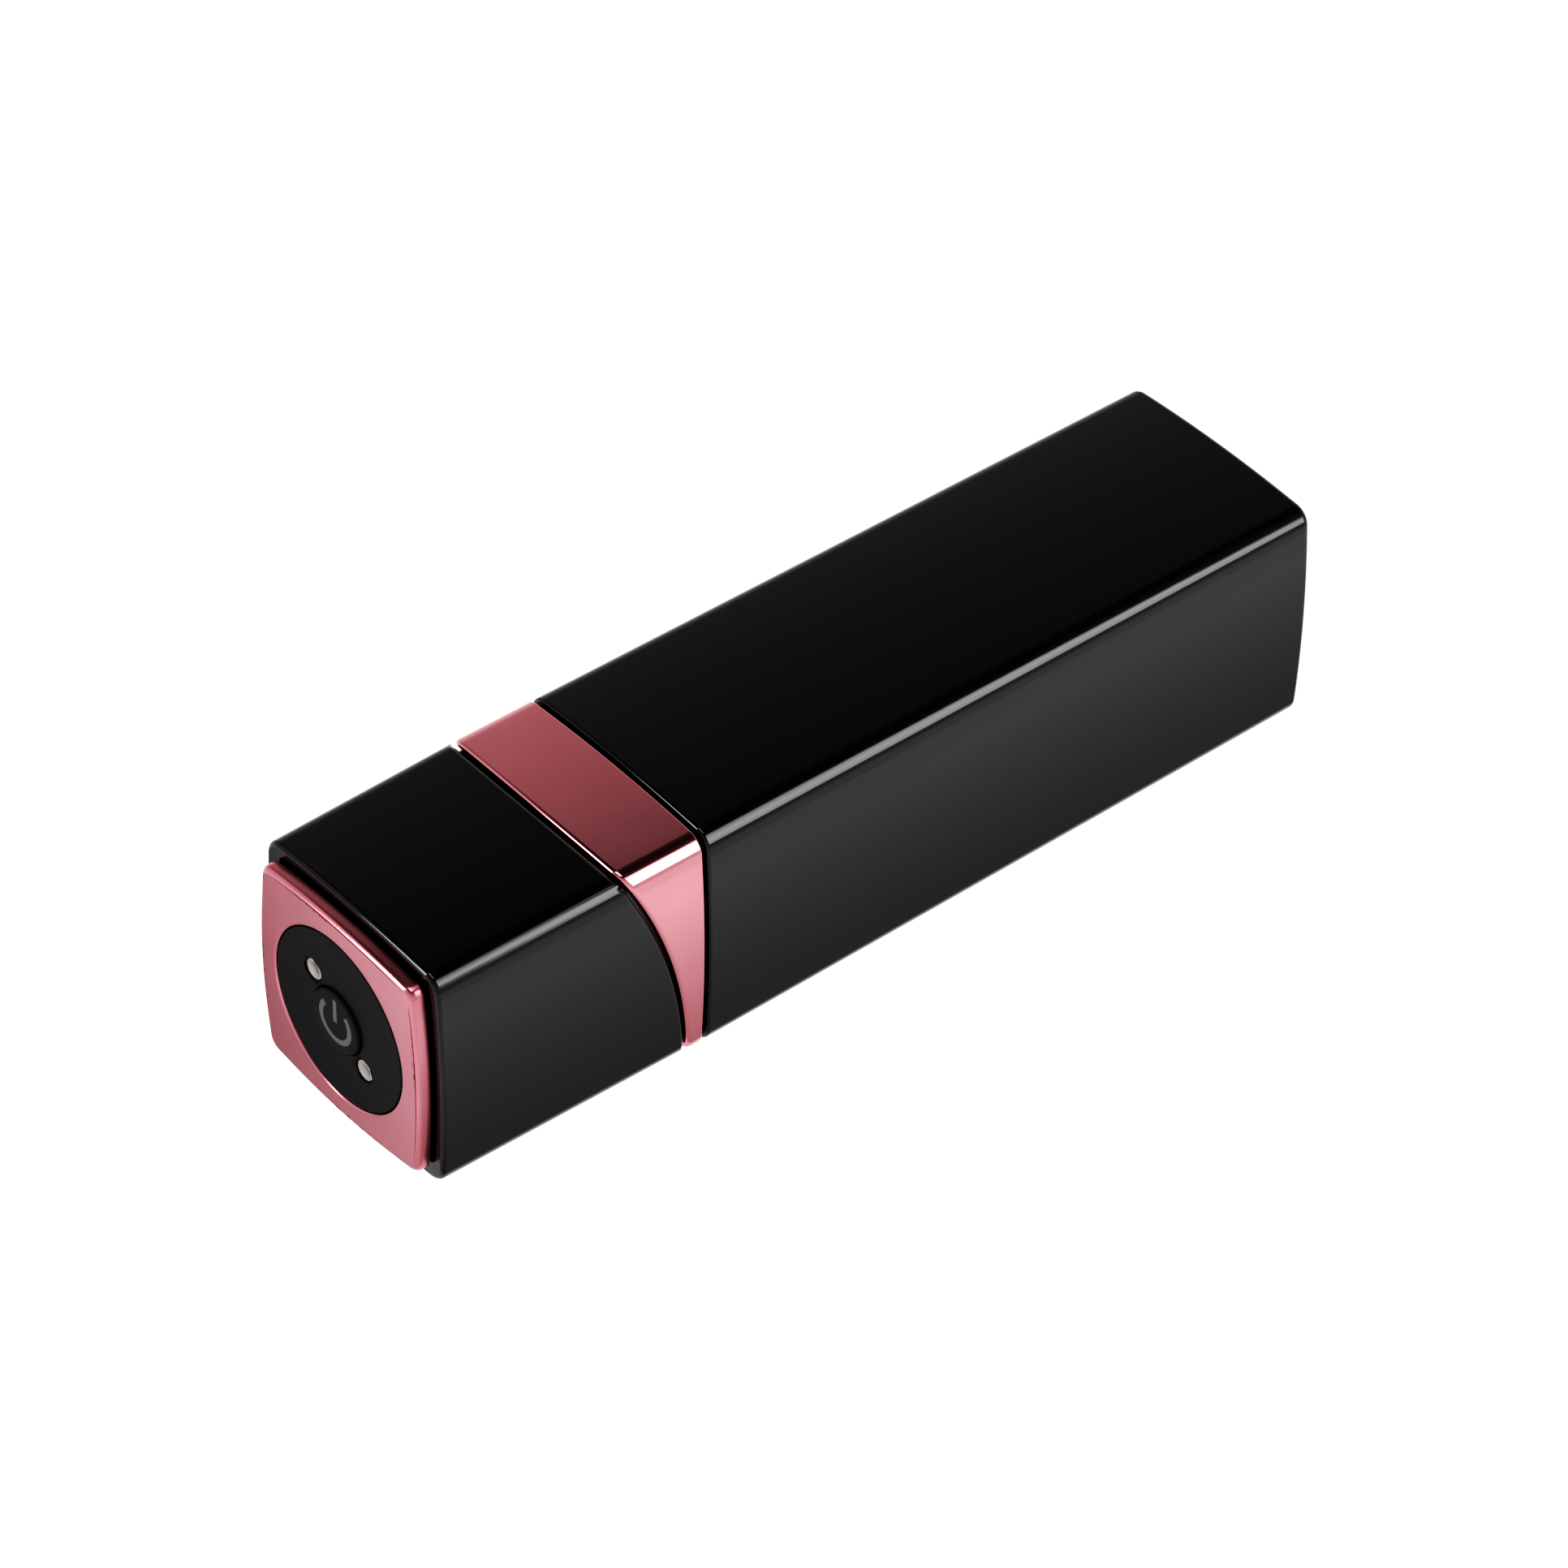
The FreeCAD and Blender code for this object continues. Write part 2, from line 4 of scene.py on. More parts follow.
import bmesh
import bpy
from mathutils import Euler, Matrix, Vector


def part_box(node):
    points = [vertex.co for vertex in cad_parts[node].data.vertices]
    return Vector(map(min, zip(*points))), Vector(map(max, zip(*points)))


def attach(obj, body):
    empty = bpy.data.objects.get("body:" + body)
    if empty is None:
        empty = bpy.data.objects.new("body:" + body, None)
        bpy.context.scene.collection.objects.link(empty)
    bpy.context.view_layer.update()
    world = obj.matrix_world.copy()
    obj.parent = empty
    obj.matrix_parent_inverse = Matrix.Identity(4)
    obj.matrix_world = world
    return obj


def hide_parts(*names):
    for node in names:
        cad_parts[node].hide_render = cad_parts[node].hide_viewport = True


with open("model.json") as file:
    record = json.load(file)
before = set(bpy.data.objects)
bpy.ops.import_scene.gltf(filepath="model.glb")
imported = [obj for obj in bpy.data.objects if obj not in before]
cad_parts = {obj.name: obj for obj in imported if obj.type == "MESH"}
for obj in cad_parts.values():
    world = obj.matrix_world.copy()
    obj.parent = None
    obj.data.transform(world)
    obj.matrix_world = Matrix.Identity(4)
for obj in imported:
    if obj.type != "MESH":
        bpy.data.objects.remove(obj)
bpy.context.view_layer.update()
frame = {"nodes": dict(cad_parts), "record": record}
scene = bpy.context.scene
MM = 0.001

# Camera. A long lens looks down at the button end from the left, so its end, its top and one side show.
camera_data = bpy.data.cameras.new("camera")
camera_data.sensor_width = 36.0
camera_data.lens = 162.41
camera_data.clip_start, camera_data.clip_end = 0.01, 20.0
camera = bpy.data.objects.new("camera", camera_data)
camera.location = (-264.29 * MM, -314.48 * MM, 373.83 * MM)
camera.rotation_euler = Euler([math.radians(angle) for angle in (48.4804, -0.5151, -39.4976)])
scene.collection.objects.link(camera)
scene.camera = camera
scene.view_settings.view_transform = "Standard"

# Picture style. A deep toe: the darks fall towards black and plated metal turns a deeper red in its dark
# parts, while the lights stay as they are.
scene.view_settings.use_curve_mapping = True
style = scene.view_settings.curve_mapping
curve = style.curves[3]
for light, shown in ((0.06, 0.010), (0.11, 0.036), (0.20, 0.118), (0.36, 0.355)):
    curve.points.new(light, shown)
style.update()


# Material tools. Shader maths is written as Python expressions: a Wire is an output socket, and Nodes is
# a node tree whose nodes are all made by its one method.
class Wire:
    def __init__(self, nodes, socket):
        self.nodes, self.socket = nodes, socket

    def math(self, operation, first, second):
        return self.nodes.node("Math", {"operation": operation}, _0=first, _1=second)

    def __add__(self, other):
        return self.math("ADD", self, other)

    __radd__ = __add__

    def __sub__(self, other):
        return self.math("SUBTRACT", self, other)

    def __rsub__(self, other):
        return self.math("SUBTRACT", other, self)

    def __mul__(self, other):
        return self.math("MULTIPLY", self, other)

    __rmul__ = __mul__

    def __gt__(self, other):
        return self.math("GREATER_THAN", self, other)

    def __lt__(self, other):
        return self.math("LESS_THAN", self, other)

    def smaller(self, other):
        return self.math("MINIMUM", self, other)

    def larger(self, other):
        return self.math("MAXIMUM", self, other)


class Nodes:
    def __init__(self, tree):
        self.tree = tree

    def node(self, kind, settings=None, output=0, **sockets):
        """Adds a node. A socket is named by its label, with _ for a space, or by _ and its number."""
        node = self.tree.nodes.new("ShaderNode" + kind)
        for name, value in (settings or {}).items():
            if name == "stops":
                ramp = node.color_ramp.elements
                while len(ramp) < len(value):
                    ramp.new(0.5)
                for element, (place, level) in zip(ramp, value):
                    element.position, element.color = place, (level, level, level, 1)
            else:
                setattr(node, name, value)
        for name, value in sockets.items():
            socket = node.inputs[int(name[1:]) if name[1:].isdigit() else name.replace("_", " ")]
            if isinstance(value, Wire):
                self.tree.links.new(value.socket, socket)
            else:
                socket.default_value = value
        return Wire(self, node.outputs[output])

    def axis(self, number, place):
        """One coordinate of a place: 0 for x, 1 for y, 2 for z."""
        return self.node("SeparateXYZ", output=number, Vector=place)

    def ramp(self, wire, *stops):
        return self.node("ValToRGB", {"stops": stops}, Fac=wire)


class Finish(Nodes):
    """A material. Its constants go straight on the shader's sockets."""

    def __init__(self, name, **constants):
        self.material = bpy.data.materials.new(name)
        self.material.use_nodes = True
        super().__init__(self.material.node_tree)
        self.shader = self.tree.nodes["Principled BSDF"]
        for socket, value in constants.items():
            self.shader.inputs[socket.replace("_", " ")].default_value = value

    def feed(self, socket, wire):
        self.tree.links.new(wire.socket, self.shader.inputs[socket])

    def place(self, stretch=(1, 1, 1), turn=(0, 0, 0)):
        """Object coordinates in millimetres, stretched and turned for one pattern."""
        at = self.node("TexCoord", output=3)
        scale = [factor / MM for factor in stretch]
        return self.node("Mapping", Vector=at, Rotation=turn, Scale=scale)

    def noise(self, per_mm, detail=2.0, **where):
        return self.node("TexNoise", Vector=self.place(**where), Scale=per_mm, Detail=detail)

    def cells(self, per_mm, **where):
        return self.node("TexVoronoi", Vector=self.place(**where), Scale=per_mm)

    def blend(self, share, first, second):
        """Mixes two colours by a share."""
        return self.node("Mix", {"data_type": "RGBA"}, 2, _0=share, _6=first, _7=second)

    def relief(self, height, depth_mm, **more):
        self.feed("Normal", self.node("Bump", Height=height, Distance=depth_mm * MM, Strength=1.0, **more))


# Floor. A sheet of white paper on a light table, so the case throws almost no shadow.
floor_size = 6.0
bpy.ops.object.select_all(action="DESELECT")
bpy.ops.mesh.primitive_plane_add(size=floor_size, location=(0, 0, 0))
floor = bpy.context.object
floor.name = "floor"
paper = Finish("white_paper", Base_Color=(0.35, 0.35, 0.35, 1), Roughness=1.0, Specular_IOR_Level=0.0,
               Emission_Color=(1, 1, 1, 1), Emission_Strength=0.95)
floor.data.materials.append(paper.material)

# Room. Its light fades from the horizon to the zenith, which the polished faces show as soft gradients.
world = bpy.data.worlds.new("studio")
scene.world = world
world.use_nodes = True
room = Nodes(world.node_tree)
height = room.axis(2, room.node("TexCoord", output=0))
fade = room.ramp(height, (0.0, 1.0), (0.30, 0.95), (0.485, 0.75), (0.60, 0.58), (0.70, 0.45), (0.76, 0.33),
                 (0.81, 0.15), (0.90, 0.06), (1.0, 0.05))
room.tree.links.new(fade.socket, room.tree.nodes["Background"].inputs["Color"])


def softbox(name, direction, distance, width, height, power):
    """A soft rectangular light aimed at the middle of the case and hidden from the camera."""
    light = bpy.data.lights.new(name, "AREA")
    light.shape = "RECTANGLE"
    light.size, light.size_y, light.energy = width, height, power
    lamp = bpy.data.objects.new(name, light)
    aim = Vector(direction).normalized()
    lamp.location = aim * distance + Vector((0, 0, 11 * MM))
    lamp.rotation_euler = aim.to_track_quat("Z", "Y").to_euler()
    lamp.visible_camera = False
    scene.collection.objects.link(lamp)


# Lights. The tall narrow one behind draws the white line on the front rims of collar and frame, and the
# overhead one fills the floor.
softbox("overhead", (0.0, -0.05, 1.0), distance=1.6, width=1.1, height=1.1, power=10.0)
softbox("rim_light", (-0.78, 0.445, 0.44), distance=1.2, width=0.26, height=0.80, power=4.4)


def card(name, middle, size, material, upright=False):
    """A flat card that only reflections see. It lies level, or stands up and faces the case."""
    bpy.ops.mesh.primitive_plane_add(size=1.0)
    sheet = bpy.context.object
    sheet.name = name
    bpy.ops.transform.resize(value=(*size, 1.0))
    bpy.ops.object.transform_apply(location=False, rotation=False, scale=True)
    sheet.location = middle
    if upright:
        sheet.rotation_euler = Vector(middle).to_track_quat("Z", "Y").to_euler()
    sheet.data.materials.append(material)
    sheet.visible_camera = sheet.visible_shadow = sheet.visible_diffuse = False


def glow(name):
    """A card's material: black paint that shines as its Emission Color says."""
    return Finish(name, Base_Color=(0, 0, 0, 1), Roughness=1.0, Specular_IOR_Level=0.0, Emission_Strength=1.0)


# Black card and dark screen. The card lies in front of the case and parts the bright line on the near edge
# from the reflection of the paper below it. The screen stands behind on the left and darkens the rounded
# front rims, so that only their lit part near the right corners shines.
black_flock = glow("black_flock").material
card("black_card", (0.20, -0.41, 0.5 * MM), (0.80, 0.71), black_flock)
card("dark_screen", (-0.66, 0.98, 0.62), (0.66, 1.0), black_flock, upright=True)

# Edge card. A glowing card on the right, seen only in reflections, paints a highlight: the soft bright line
# along the near top edge. It is brightest just below its middle, dimmer at its foot, and almost dark at its
# top and its two sides.
edge_card_width, edge_card_height, edge_card_glow = 0.38, 1.1, 5.7
glowing_card = glow("glowing_card")
spot = glowing_card.node("TexCoord", output=3)
from_left = glowing_card.axis(0, spot) * (1 / edge_card_width) + 0.5
from_foot = glowing_card.axis(1, spot) * (1 / edge_card_height) + 0.5
sides = glowing_card.ramp(from_left, (0.0, 0.0), (0.2, 1.0), (0.8, 1.0), (1.0, 0.0))
falloff = glowing_card.ramp(from_foot, (0.0, 0.60), (0.14, 0.80), (0.30, 0.88), (0.42, 1.0), (0.55, 0.96),
                        (0.70, 0.82), (0.84, 0.60), (1.0, 0.10))
# Painted highlight: the card's glow is seen only in reflections of the near top edge.
glowing_card.feed("Emission Color", edge_card_glow * falloff * sides)
card("edge_card", (0.462, -0.784, 0.412), (edge_card_width, edge_card_height), glowing_card.material,
     upright=True)

# Painted shade on the paper. Close to the case the paper would lie in its shade, which the end and the near
# side reflect, so two glowing cards that only reflections see paint it: they lighten away from the case, and
# in front of the end also towards the near side. Places and sizes are in millimetres, and the glow changes by
# along_x and along_y for each of them.
paper_glow, darkest_glow = 1.39, 0.5
for name, middle, size, level, along_x, along_y in (
        ("side_shade", (48.0, -22.0, 0.3), (184.0, 22.0), 1.13, 0.0, -0.043),
        ("end_shade", (-64.0, 6.0, 0.3), (40.0, 60.0), 1.548, -0.045, -0.0175)):
    shade = glow(name)
    spot = shade.place()
    light = level + along_x * shade.axis(0, spot) + along_y * shade.axis(1, spot)
    shade.feed("Emission Color", light.larger(darkest_glow).smaller(paper_glow))
    card(name, [value * MM for value in middle], [value * MM for value in size], shade.material)

# Cap. A glossy black moulding, closed at its far end, that pulls off the neck. Its square section has
# crowned sides and round corners and narrows a little towards the closed end.
# Places are given in millimetres from the corners of the end frame, along and about the case's axis.
case_length = 88.0
cap_low, cap_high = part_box("cap_shell")
axis_height = (cap_low[2] + cap_high[2]) / 2
SIDE_STEPS, CORNER_STEPS = 18, 10
RING = 4 * (SIDE_STEPS + CORNER_STEPS)
ALONG = (1, 0, 0)
NEAR = 0.01


def at(x, y=0.0, z=0.0):
    """A place on the case, from its own axis to the row frame."""
    return Vector((cap_high[0] + (x - case_length) * MM, y * MM, axis_height + z * MM))


def from_axis(place):
    """The reverse: millimetres along and about the case's axis."""
    return Vector(((place.x - cap_high[0]) / MM + case_length, place.y / MM, (place.z - axis_height) / MM))


def new_piece(name):
    """An empty mesh in edit mode. Its first ring is added next."""
    bpy.ops.object.select_all(action="DESELECT")
    bpy.ops.mesh.primitive_plane_add(size=MM)
    bpy.context.object.name = name
    bpy.ops.object.mode_set(mode="EDIT")
    bpy.ops.mesh.delete(type="VERT")
    return bpy.context.object


def new_point(place):
    """One loose vertex, selected: a small plane merged to its middle."""
    bpy.ops.mesh.select_mode(type="VERT")
    bpy.ops.mesh.select_all(action="DESELECT")
    bpy.ops.mesh.primitive_plane_add(size=MM, location=place)
    bpy.ops.mesh.merge(type="CENTER")


def settle():
    """Merges a ring's last point with its first. Leaving edit mode numbers the points in order again."""
    bpy.ops.mesh.select_all(action="SELECT")
    bpy.ops.mesh.remove_doubles(threshold=NEAR * MM)
    bpy.ops.object.mode_set(mode="OBJECT")
    bpy.ops.object.mode_set(mode="EDIT")


def square_ring(x, half, corner, crown=0.05):
    """The section's outline at x, spun from one point: a crowned side and a round corner, four times."""
    side_radius = (half ** 2 + crown ** 2) / (2 * crown)
    beyond = side_radius - half - crown
    reach = side_radius - corner
    centre = (math.sqrt(2 * reach ** 2 - beyond ** 2) - beyond) / 2
    half_turn = math.asin(centre / reach)
    new_point(at(x, -side_radius * math.sin(half_turn), side_radius * math.cos(half_turn) - beyond))
    side, bend = (0, -beyond), (centre, centre)
    for _ in range(4):
        bpy.ops.mesh.spin(steps=SIDE_STEPS, angle=2 * half_turn, center=at(x, *side), axis=ALONG)
        bpy.ops.mesh.spin(steps=CORNER_STEPS, angle=math.pi / 2 - 2 * half_turn, center=at(x, *bend),
                          axis=ALONG)
        side, bend = (side[1], -side[0]), (bend[1], -bend[0])
    settle()


def round_ring(x, radius):
    """A circle about the axis at x, with as many points as the square outline."""
    new_point(at(x, 0, radius))
    bpy.ops.mesh.spin(steps=RING, angle=2 * math.pi, center=at(x), axis=ALONG)
    settle()


def pick_rings(*numbers):
    """Selects whole rings by their number, in the order they were added."""
    bpy.ops.mesh.select_mode(type="EDGE")
    bpy.ops.mesh.select_all(action="DESELECT")
    sheet = bmesh.from_edit_mesh(bpy.context.object.data)
    sheet.verts.index_update()
    for edge in sheet.edges:
        rings = {vertex.index // RING for vertex in edge.verts}
        edge.select = len(rings) == 1 and rings.pop() in numbers
    bmesh.update_edit_mesh(bpy.context.object.data)


def pick_edges(test):
    """Selects the edges whose two ends both pass a test on their place about the axis."""
    bpy.ops.mesh.select_mode(type="EDGE")
    bpy.ops.mesh.select_all(action="DESELECT")
    sheet = bmesh.from_edit_mesh(bpy.context.object.data)
    for edge in sheet.edges:
        edge.select = all(test(from_axis(vertex.co)) for vertex in edge.verts)
    bmesh.update_edit_mesh(bpy.context.object.data)


def skin(first, second, cuts=0):
    """Joins two rings with a band of faces. They are held apart while they are joined, because two rings
    in one plane could be joined back to front."""
    apart = 0.5 * MM
    pick_rings(second)
    bpy.ops.transform.translate(value=(apart, 0, 0))
    pick_rings(first, second)
    bpy.ops.mesh.bridge_edge_loops(number_cuts=cuts)
    pick_rings(second)
    bpy.ops.transform.translate(value=(-apart, 0, 0))


def skin_round(count):
    """Joins each of count rings with the next and the last with the first."""
    for ring in range(count):
        skin(ring, (ring + 1) % count)


def close(ring):
    pick_rings(ring)
    bpy.ops.mesh.edge_face_add()


def round_edges(radius, steps, test):
    """Rounds the edges that pass a test."""
    pick_edges(test)
    bpy.ops.mesh.bevel(offset=radius * MM, segments=steps, profile=0.5, affect="EDGES")


def outward():
    bpy.ops.mesh.select_all(action="SELECT")
    bpy.ops.mesh.normals_make_consistent(inside=False)


def finish_piece(piece, finish, slot, body, *nodes):
    """Smooths a piece's shading, gives it its material, hangs it on the body it rides on and hides the CAD
    parts it stands for.
    """
    if bpy.context.mode != "OBJECT":
        bpy.ops.object.mode_set(mode="OBJECT")
    crease = math.radians(35)
    bpy.ops.object.shade_smooth_by_angle(angle=crease)
    piece.modifiers.new("even normals", "WEIGHTED_NORMAL").keep_sharp = True
    bpy.ops.object.modifier_apply(modifier="even normals")
    piece.data.materials.clear()
    piece.data.materials.append(finish.material)
    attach(piece, body)
    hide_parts(*nodes)


def outer(place, half=9.5):
    """True on the outer skin."""
    return max(abs(place.y), abs(place.z)) > half


case_half, case_crown, case_corner = 10.60, 0.45, 1.6
cap_start = from_axis(Vector(cap_low)).x
cap_end_half, cap_wall, bore_half, bore_corner = 10.39, 1.6, 9.05, 0.8
cap_end_edge, cap_mouth_edge, bore_edge = 0.6, 0.3, 0.2
bore_end = case_length - cap_wall

cap = new_piece("cap")
square_ring(cap_start, case_half, case_corner, case_crown)
square_ring(case_length, cap_end_half, case_corner, case_crown)
square_ring(bore_end, bore_half, bore_corner)
square_ring(cap_start, bore_half, bore_corner)
skin(0, 1)
skin(2, 3)
skin(0, 3)
close(1)
close(2)
outward()
round_edges(cap_end_edge, 8, lambda p: p.x > case_length - NEAR)
round_edges(cap_mouth_edge, 5, lambda p: p.x < cap_start + NEAR and outer(p))
round_edges(bore_edge, 3, lambda p: p.x < cap_start + NEAR and not outer(p, bore_half + 5 * NEAR))

# Piano black: a high-gloss moulding with a barely uneven skin, fine hairlines from handling and a few
# specks of dust, which show only in the reflections.
piano_black = Finish("piano_black", Base_Color=(0.003, 0.003, 0.0032, 1), Roughness=0.045, IOR=1.62)
swell = piano_black.noise(0.35, 1.0)
hairlines = (piano_black.noise(1.0, 3.0, stretch=(0.15, 9, 9), turn=(0, 0, 0.5))
             * piano_black.noise(1.0, 3.0, stretch=(9, 0.2, 9), turn=(0.3, 0, -0.4)) > 0.36)
specks = piano_black.cells(0.9) < 0.035
piano_black.feed("Roughness", 0.036 + 0.014 * swell + 0.03 * hairlines + 0.2 * specks)
piano_black.relief(swell + 0.004 * hairlines, 0.006)
finish_piece(cap, piano_black, "black_gloss", "cap", "cap_shell")

# Cap liner. A thin plastic sleeve pressed into the cap's bore, which grips the neck.
liner_half, liner_wall, liner_start, liner_end = 8.99, 0.65, 27.2, 60.0
liner_bore_corner, liner_edge = 0.6, 0.2
liner = new_piece("cap_grip_sleeve")
square_ring(liner_start, liner_half, bore_corner)
square_ring(liner_end, liner_half, bore_corner)
square_ring(liner_end, liner_half - liner_wall, liner_bore_corner)
square_ring(liner_start, liner_half - liner_wall, liner_bore_corner)
skin_round(4)
outward()
round_edges(liner_edge, 3, lambda p: p.x < liner_start + NEAR)


def moulded(name, colour, roughness, grain, depth, **constants):
    """Moulded plastic: a fine spark-eroded grain, slightly uneven in colour and polish."""
    finish = Finish(name, Roughness=roughness, **constants)
    fine, broad = finish.noise(grain, 3.0), finish.noise(0.4, 2.0)
    darker = [channel * 0.72 for channel in colour] + [1]
    finish.feed("Base Color", finish.blend(0.65 * fine + 0.35 * broad, darker, (*colour, 1)))
    finish.feed("Roughness", roughness - 0.08 + 0.10 * fine + 0.06 * broad)
    finish.relief(fine, depth)
    return finish


matte_black = moulded("matte_black_plastic", (0.018, 0.018, 0.019), 0.52, 9.0, 0.010)
finish_piece(liner, matte_black, "black_matte", "cap", "cap_liner")

# Base. A glossy black moulding glued over the sleeve. It narrows a little towards the button, its front
# rim is rounded, and its other end follows a curved seam that sweeps towards the cap lower down. A step
# under the seam meets the collar, so the seam is a shallow dark groove.
base_start = from_axis(Vector(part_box("base_shell")[0])).x
base_start_half, base_end_half, base_reach = 10.35, 10.56, 26.0
base_front_edge, base_seam_edge = 0.4, 0.35
sleeve_bore, sleeve_bore_corner, seat_half, seat_corner, seat_end, step_half = 8.31, 1.0, 8.65, 1.1, 3.6, 10.1
seam_radius, seam_gap, seam_x, seam_z = 48.15, 0.28, -23.54, -13.22


def sweep_to_seam(piece, radius, *rings):
    """Slides whole rings back along X on to the seam, which is a large cylinder across the case."""
    form_width, form_sides = 60, 1440
    pick_rings(*rings)
    bpy.ops.object.vertex_group_assign_new()
    bpy.ops.object.mode_set(mode="OBJECT")
    bpy.ops.mesh.primitive_cylinder_add(vertices=form_sides, radius=radius * MM, depth=form_width * MM,
                                        location=at(seam_x, 0, seam_z), rotation=(math.pi / 2, 0, 0))
    form = bpy.context.object
    bpy.ops.object.select_all(action="DESELECT")
    bpy.context.view_layer.objects.active = piece
    piece.select_set(True)
    wrap = piece.modifiers.new("seam", "SHRINKWRAP")
    wrap.target, wrap.wrap_method = form, "PROJECT"
    wrap.use_project_x = wrap.use_negative_direction = True
    wrap.use_positive_direction = False
    wrap.vertex_group = piece.vertex_groups[0].name
    bpy.ops.object.modifier_apply(modifier="seam")
    piece.vertex_groups.clear()
    bpy.data.objects.remove(form)
    bpy.ops.object.mode_set(mode="EDIT")


def on_seam(place, radius):
    return abs(math.hypot(place.x - seam_x, place.z - seam_z) - radius) < 2 * NEAR


base = new_piece("base")
square_ring(base_start, base_start_half, case_corner, case_crown)
square_ring(base_reach, base_end_half, case_corner, case_crown)
square_ring(base_reach, step_half, case_corner)
square_ring(base_reach + 1, step_half, case_corner)
square_ring(base_reach + 1, sleeve_bore, sleeve_bore_corner)
square_ring(seat_end, sleeve_bore, sleeve_bore_corner)
square_ring(seat_end, seat_half, seat_corner)
square_ring(base_start, seat_half, seat_corner)
skin_round(8)
sweep_to_seam(base, seam_radius, 1, 2)
sweep_to_seam(base, seam_radius + seam_gap, 3, 4)
outward()
round_edges(base_front_edge, 6, lambda p: p.x < base_start + NEAR and outer(p))
round_edges(base_seam_edge, 6, lambda p: on_seam(p, seam_radius) and outer(p, step_half + 12 * NEAR))
finish_piece(base, piano_black, "black_gloss", "root", "base_shell")

# Collar. A band between base and cap, moulded and plated to a rose-gold mirror. Its lower edge follows
# the seam and has the softer rounding.
collar_end = from_axis(Vector(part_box("collar_band")[1])).x
collar_cap_edge, collar_seam_edge = 0.2, 0.55
collar = new_piece("collar")
square_ring(collar_end - 1, case_half, case_corner, case_crown)
square_ring(collar_end, case_half, case_corner, case_crown)
square_ring(collar_end, sleeve_bore, sleeve_bore_corner)
square_ring(collar_end - 1, sleeve_bore, sleeve_bore_corner)
skin_round(4)
sweep_to_seam(collar, seam_radius + seam_gap, 0, 3)
outward()
round_edges(collar_cap_edge, 5, lambda p: p.x > collar_end - NEAR / 2 and outer(p))
round_edges(collar_seam_edge, 8, lambda p: on_seam(p, seam_radius + seam_gap) and outer(p))

# Rose-gold plating: a mirror with the faint flow of the moulding under it and a few fine wipe marks.
rose_gold = Finish("rose_gold_plating", Base_Color=(0.60, 0.272, 0.296, 1), Metallic=1.0, Roughness=0.06)
flow = rose_gold.noise(0.25, 1.0)
wipes = rose_gold.noise(1.0, 4.0, stretch=(14, 0.3, 0.3), turn=(0, 0, 0.12))
rose_gold.feed("Base Color", rose_gold.blend(flow, (0.585, 0.262, 0.285, 1), (0.615, 0.282, 0.307, 1)))
rose_gold.feed("Roughness", 0.04 + 0.04 * wipes + 0.02 * flow)
rose_gold.relief(flow + 0.006 * wipes, 0.008)
finish_piece(collar, rose_gold, "rose_gold", "root", "collar_band")

# End frame. A thin plate with a large round hole, plated like the collar but with a satin face. Its face
# is very slightly domed, its front edges are rounded and the hole has a rounded lip.
frame_half, frame_crown, frame_corner, frame_back = 9.20, 0.55, 0.9, 1.15
frame_hole, frame_front, dome_radius = 7.80, -0.16, 520.0
front_half, frame_face, outline_band, face_cuts = 0.6, 0.2, 0.2, 6
frame_front_edge, frame_lip = 0.55, 0.25


def dome(piece, front, test):
    """Sets the points that pass a test on a very large ball whose front meets the axis at front."""
    pick_edges(test)
    bpy.ops.object.vertex_group_assign_new()
    bpy.ops.object.mode_set(mode="OBJECT")
    bpy.ops.object.empty_add(location=at(front + dome_radius))
    centre = bpy.context.object
    bpy.context.view_layer.update()
    bpy.ops.object.select_all(action="DESELECT")
    bpy.context.view_layer.objects.active = piece
    piece.select_set(True)
    cast = piece.modifiers.new("dome", "CAST")
    cast.object, cast.factor, cast.size = centre, 1.0, dome_radius * MM
    cast.use_radius_as_size = False
    cast.radius = 0.0
    cast.use_y = cast.use_z = False
    cast.vertex_group = piece.vertex_groups[0].name
    bpy.ops.object.modifier_apply(modifier="dome")
    piece.vertex_groups.clear()
    bpy.data.objects.remove(centre)
    bpy.ops.object.mode_set(mode="EDIT")


def on_frame_edge(place):
    """True on the frame's outer outline: beyond every ring of points that lies inside it."""
    across, along = sorted((abs(place.y), abs(place.z)))
    return along > frame_half - outline_band + frame_crown * (1 - (across / frame_half) ** 2)


end_frame = new_piece("end_frame")
square_ring(0, frame_half, frame_corner, frame_crown)
square_ring(frame_back, frame_half, frame_corner, frame_crown)
round_ring(frame_back, frame_hole)
round_ring(0, frame_hole)
for ring in range(3):
    skin(ring, ring + 1)
skin(3, 0, cuts=face_cuts)
outward()
dome(end_frame, frame_front, lambda p: p.x < front_half)
round_edges(frame_front_edge, 8, lambda p: p.x < frame_face and on_frame_edge(p))
round_edges(frame_lip, 5, lambda p: p.x < frame_face and math.hypot(p.y, p.z) < frame_hole + NEAR)

# Satin rose gold: the same plating over a finely blasted face.
satin_gold = Finish("satin_rose_gold", Base_Color=(0.50, 0.22, 0.245, 1), Metallic=1.0, Roughness=0.2)
blasted = satin_gold.noise(22.0, 2.0)
cloud = satin_gold.noise(0.3, 2.0)
satin_gold.feed("Base Color", satin_gold.blend(cloud, (0.485, 0.21, 0.234, 1), (0.52, 0.23, 0.257, 1)))
satin_gold.feed("Roughness", 0.15 + 0.08 * blasted + 0.05 * cloud)
satin_gold.relief(blasted, 0.0012)
finish_piece(end_frame, satin_gold, "rose_gold_brushed", "root", "end_plate")

